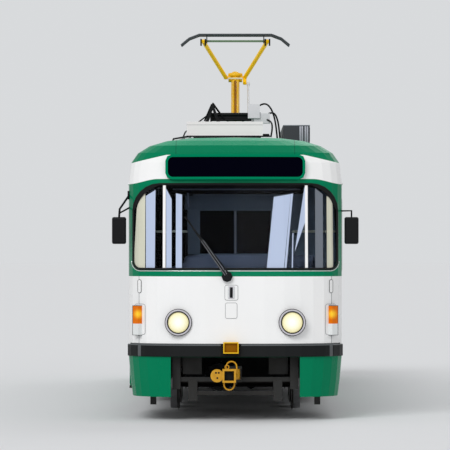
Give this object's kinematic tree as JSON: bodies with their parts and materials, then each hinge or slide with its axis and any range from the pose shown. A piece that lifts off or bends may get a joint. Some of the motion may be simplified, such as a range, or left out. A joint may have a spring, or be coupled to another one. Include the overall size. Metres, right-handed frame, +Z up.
{
  "type": "tram",
  "caption": "Single-car city tram on two bogies, with folding doors on one side, a rounded nose and tail, a cab and saloon, couplers and a single-arm pantograph.",
  "frame": {"origin": "on the ground under the wheel flanges, at the middle of the car's length and width", "axes": "+Z up; the front faces -Y; +X is the car's left, and the doors are on -X"},
  "size_m": [2.869, 14.34, 4.7423],
  "materials": {
    "white_enamel": "white enamel, semi-gloss",
    "green_enamel": "green enamel, semi-gloss",
    "window_glass": "clear safety glass",
    "bumper_rubber": "black rubber",
    "lamp_glass": "clear lamp glass",
    "amber_lens": "amber lens",
    "red_lens": "red lens",
    "black_enamel": "black enamel",
    "dark_steel": "dark chassis paint",
    "wheel_steel": "rolled wheel steel",
    "yellow_enamel": "yellow enamel",
    "coupler_enamel": "yellow enamel, worn",
    "collector": "dark collector metal",
    "grey_enamel": "light grey enamel",
    "lining": "pale laminate",
    "seat_cover": "dark grey seat cover",
    "resistor_case": "dark grey case"
  },
  "bodies": {
    "car_body": {"underframe": "dark_steel", "side_wall_right": "white_enamel", "side_wall_left": "white_enamel", "roof_shell": "green_enamel", "window_belt_left": "window_glass", "window_belt_right_front": "window_glass", "window_belt_right_rear": "window_glass", "front_end": "white_enamel", "front_glazing": "window_glass", "front_bumper": "bumper_rubber", "rear_end": "white_enamel", "rear_glazing": "window_glass", "rear_bumper": "bumper_rubber", "destination_box": "black_enamel", "headlamp_right": "lamp_glass", "tail_lamp_right": "red_lens", "indicator_right": "amber_lens", "mirror_right": "black_enamel", "headlamp_left": "lamp_glass", "tail_lamp_left": "red_lens", "indicator_left": "amber_lens", "mirror_left": "black_enamel", "socket_box": "yellow_enamel", "wiper": "black_enamel", "pantograph_base": "dark_steel", "roof_unit": "white_enamel", "resistor_bank": "resistor_case", "roof_boxes": "grey_enamel", "roof_duct": "black_enamel", "cab_partition": "lining", "driver_desk": "lining", "driver_seat": "seat_cover", "seats_left": "seat_cover", "seats_right_front": "seat_cover", "seats_right_rear": "seat_cover"},
    "bogie_front": {"bogie_frame_front": "dark_steel"},
    "bogie_rear": {"bogie_frame_rear": "dark_steel"},
    "wheels_1": {"wheelset_1": "wheel_steel"},
    "wheels_2": {"wheelset_2": "wheel_steel"},
    "wheels_3": {"wheelset_3": "wheel_steel"},
    "wheels_4": {"wheelset_4": "wheel_steel"},
    "coupler_front": {"coupler_front": "coupler_enamel"},
    "coupler_rear": {"coupler_rear": "coupler_enamel"},
    "panto_lower": {"pantograph_lower_arm": "yellow_enamel"},
    "panto_upper": {"pantograph_upper_arm": "yellow_enamel"},
    "panto_rod": {"pantograph_rod": "yellow_enamel"},
    "panto_head": {"pantograph_head": "collector"},
    "door_front_front_outer": {"door_front_front_outer": "white_enamel"},
    "door_front_front_inner": {"door_front_front_inner": "white_enamel"},
    "door_front_rear_outer": {"door_front_rear_outer": "white_enamel"},
    "door_front_rear_inner": {"door_front_rear_inner": "white_enamel"},
    "door_middle_front_outer": {"door_middle_front_outer": "white_enamel"},
    "door_middle_front_inner": {"door_middle_front_inner": "white_enamel"},
    "door_middle_rear_outer": {"door_middle_rear_outer": "white_enamel"},
    "door_middle_rear_inner": {"door_middle_rear_inner": "white_enamel"},
    "door_rear_front_outer": {"door_rear_front_outer": "white_enamel"},
    "door_rear_front_inner": {"door_rear_front_inner": "white_enamel"},
    "door_rear_rear_outer": {"door_rear_rear_outer": "white_enamel"},
    "door_rear_rear_inner": {"door_rear_rear_inner": "white_enamel"}
  },
  "joints": [
    {"name": "bogie_front_swivel", "type": "hinge", "parent": "car_body", "child": "bogie_front", "pos_m": [0, -3.2, 0.67], "axis": [0, 0, 1], "range_deg": [-12, 12]},
    {"name": "bogie_rear_swivel", "type": "hinge", "parent": "car_body", "child": "bogie_rear", "pos_m": [0, 3.2, 0.67], "axis": [0, 0, 1], "range_deg": [-12, 12]},
    {"name": "wheels_1_spin", "type": "hinge", "parent": "bogie_front", "child": "wheels_1", "pos_m": [0, -4.15, 0.35], "axis": [1, 0, 0], "continuous": true},
    {"name": "wheels_2_spin", "type": "hinge", "parent": "bogie_front", "child": "wheels_2", "pos_m": [0, -2.25, 0.35], "axis": [1, 0, 0], "continuous": true},
    {"name": "wheels_3_spin", "type": "hinge", "parent": "bogie_rear", "child": "wheels_3", "pos_m": [0, 2.25, 0.35], "axis": [1, 0, 0], "continuous": true},
    {"name": "wheels_4_spin", "type": "hinge", "parent": "bogie_rear", "child": "wheels_4", "pos_m": [0, 4.15, 0.35], "axis": [1, 0, 0], "continuous": true},
    {"name": "coupler_front_swing", "type": "hinge", "parent": "car_body", "child": "coupler_front", "pos_m": [0, -6.84, 0.53], "axis": [0, 0, 1], "range_deg": [-20, 20]},
    {"name": "coupler_rear_swing", "type": "hinge", "parent": "car_body", "child": "coupler_rear", "pos_m": [0, 6.84, 0.53], "axis": [0, 0, 1], "range_deg": [-20, 20]},
    {"name": "door_front_front_fold", "type": "hinge", "parent": "car_body", "child": "door_front_front_outer", "pos_m": [-1.2275, -6.07, 0.4], "axis": [0, 0, -1], "range_deg": [0, 88]},
    {"name": "door_front_front_knee", "type": "hinge", "parent": "door_front_front_outer", "child": "door_front_front_inner", "pos_m": [-1.2465, -5.773, 0.4], "axis": [0, 0, -1], "range_deg": [-176, 0]},
    {"name": "door_front_rear_fold", "type": "hinge", "parent": "car_body", "child": "door_front_rear_outer", "pos_m": [-1.2275, -4.83, 0.4], "axis": [0, 0, -1], "range_deg": [-88, 0]},
    {"name": "door_front_rear_knee", "type": "hinge", "parent": "door_front_rear_outer", "child": "door_front_rear_inner", "pos_m": [-1.2465, -5.127, 0.4], "axis": [0, 0, -1], "range_deg": [0, 176]},
    {"name": "door_middle_front_fold", "type": "hinge", "parent": "car_body", "child": "door_middle_front_outer", "pos_m": [-1.2275, -0.62, 0.4], "axis": [0, 0, -1], "range_deg": [0, 88]},
    {"name": "door_middle_front_knee", "type": "hinge", "parent": "door_middle_front_outer", "child": "door_middle_front_inner", "pos_m": [-1.2465, -0.323, 0.4], "axis": [0, 0, -1], "range_deg": [-176, 0]},
    {"name": "door_middle_rear_fold", "type": "hinge", "parent": "car_body", "child": "door_middle_rear_outer", "pos_m": [-1.2275, 0.62, 0.4], "axis": [0, 0, -1], "range_deg": [-88, 0]},
    {"name": "door_middle_rear_knee", "type": "hinge", "parent": "door_middle_rear_outer", "child": "door_middle_rear_inner", "pos_m": [-1.2465, 0.323, 0.4], "axis": [0, 0, -1], "range_deg": [0, 176]},
    {"name": "door_rear_front_fold", "type": "hinge", "parent": "car_body", "child": "door_rear_front_outer", "pos_m": [-1.2275, 4.83, 0.4], "axis": [0, 0, -1], "range_deg": [0, 88]},
    {"name": "door_rear_front_knee", "type": "hinge", "parent": "door_rear_front_outer", "child": "door_rear_front_inner", "pos_m": [-1.2465, 5.127, 0.4], "axis": [0, 0, -1], "range_deg": [-176, 0]},
    {"name": "door_rear_rear_fold", "type": "hinge", "parent": "car_body", "child": "door_rear_rear_outer", "pos_m": [-1.2275, 6.07, 0.4], "axis": [0, 0, -1], "range_deg": [-88, 0]},
    {"name": "door_rear_rear_knee", "type": "hinge", "parent": "door_rear_rear_outer", "child": "door_rear_rear_inner", "pos_m": [-1.2465, 5.773, 0.4], "axis": [0, 0, -1], "range_deg": [0, 176]},
    {"name": "pantograph_raise", "type": "hinge", "parent": "car_body", "child": "panto_lower", "pos_m": [0, -2, 3.68], "axis": [1, 0, 0], "range_deg": [-22.5, 27.5]},
    {"name": "pantograph_knuckle", "type": "hinge", "parent": "panto_lower", "child": "panto_upper", "pos_m": [0, -1.03498, 4.24844], "axis": [1, 0, 0], "range_deg": [-53.1, 43.5]},
    {"name": "pantograph_head_tilt", "type": "hinge", "parent": "panto_upper", "child": "panto_head", "pos_m": [0, -2.32249, 4.6544], "axis": [1, 0, 0], "range_deg": [-21, 25.6]},
    {"name": "pantograph_rod_swing", "type": "hinge", "parent": "car_body", "child": "panto_rod", "pos_m": [0.17, -2.33, 3.41], "axis": [1, 0, 0], "range_deg": [-19.1, 23.3]}
  ],
  "couplings": [
    {"joint": "door_front_front_knee", "follows": "door_front_front_fold", "ratio": -2},
    {"joint": "door_front_rear_fold", "follows": "door_front_front_fold", "ratio": -1},
    {"joint": "door_front_rear_knee", "follows": "door_front_front_fold", "ratio": 2},
    {"joint": "door_middle_front_knee", "follows": "door_middle_front_fold", "ratio": -2},
    {"joint": "door_middle_rear_fold", "follows": "door_middle_front_fold", "ratio": -1},
    {"joint": "door_middle_rear_knee", "follows": "door_middle_front_fold", "ratio": 2},
    {"joint": "door_rear_front_knee", "follows": "door_rear_front_fold", "ratio": -2},
    {"joint": "door_rear_rear_fold", "follows": "door_rear_front_fold", "ratio": -1},
    {"joint": "door_rear_rear_knee", "follows": "door_rear_front_fold", "ratio": 2},
    {"joint": "pantograph_knuckle", "follows": "pantograph_raise", "ratio": -1.93},
    {"joint": "pantograph_head_tilt", "follows": "pantograph_raise", "ratio": 0.93},
    {"joint": "pantograph_rod_swing", "follows": "pantograph_raise", "ratio": 0.845}
  ]
}
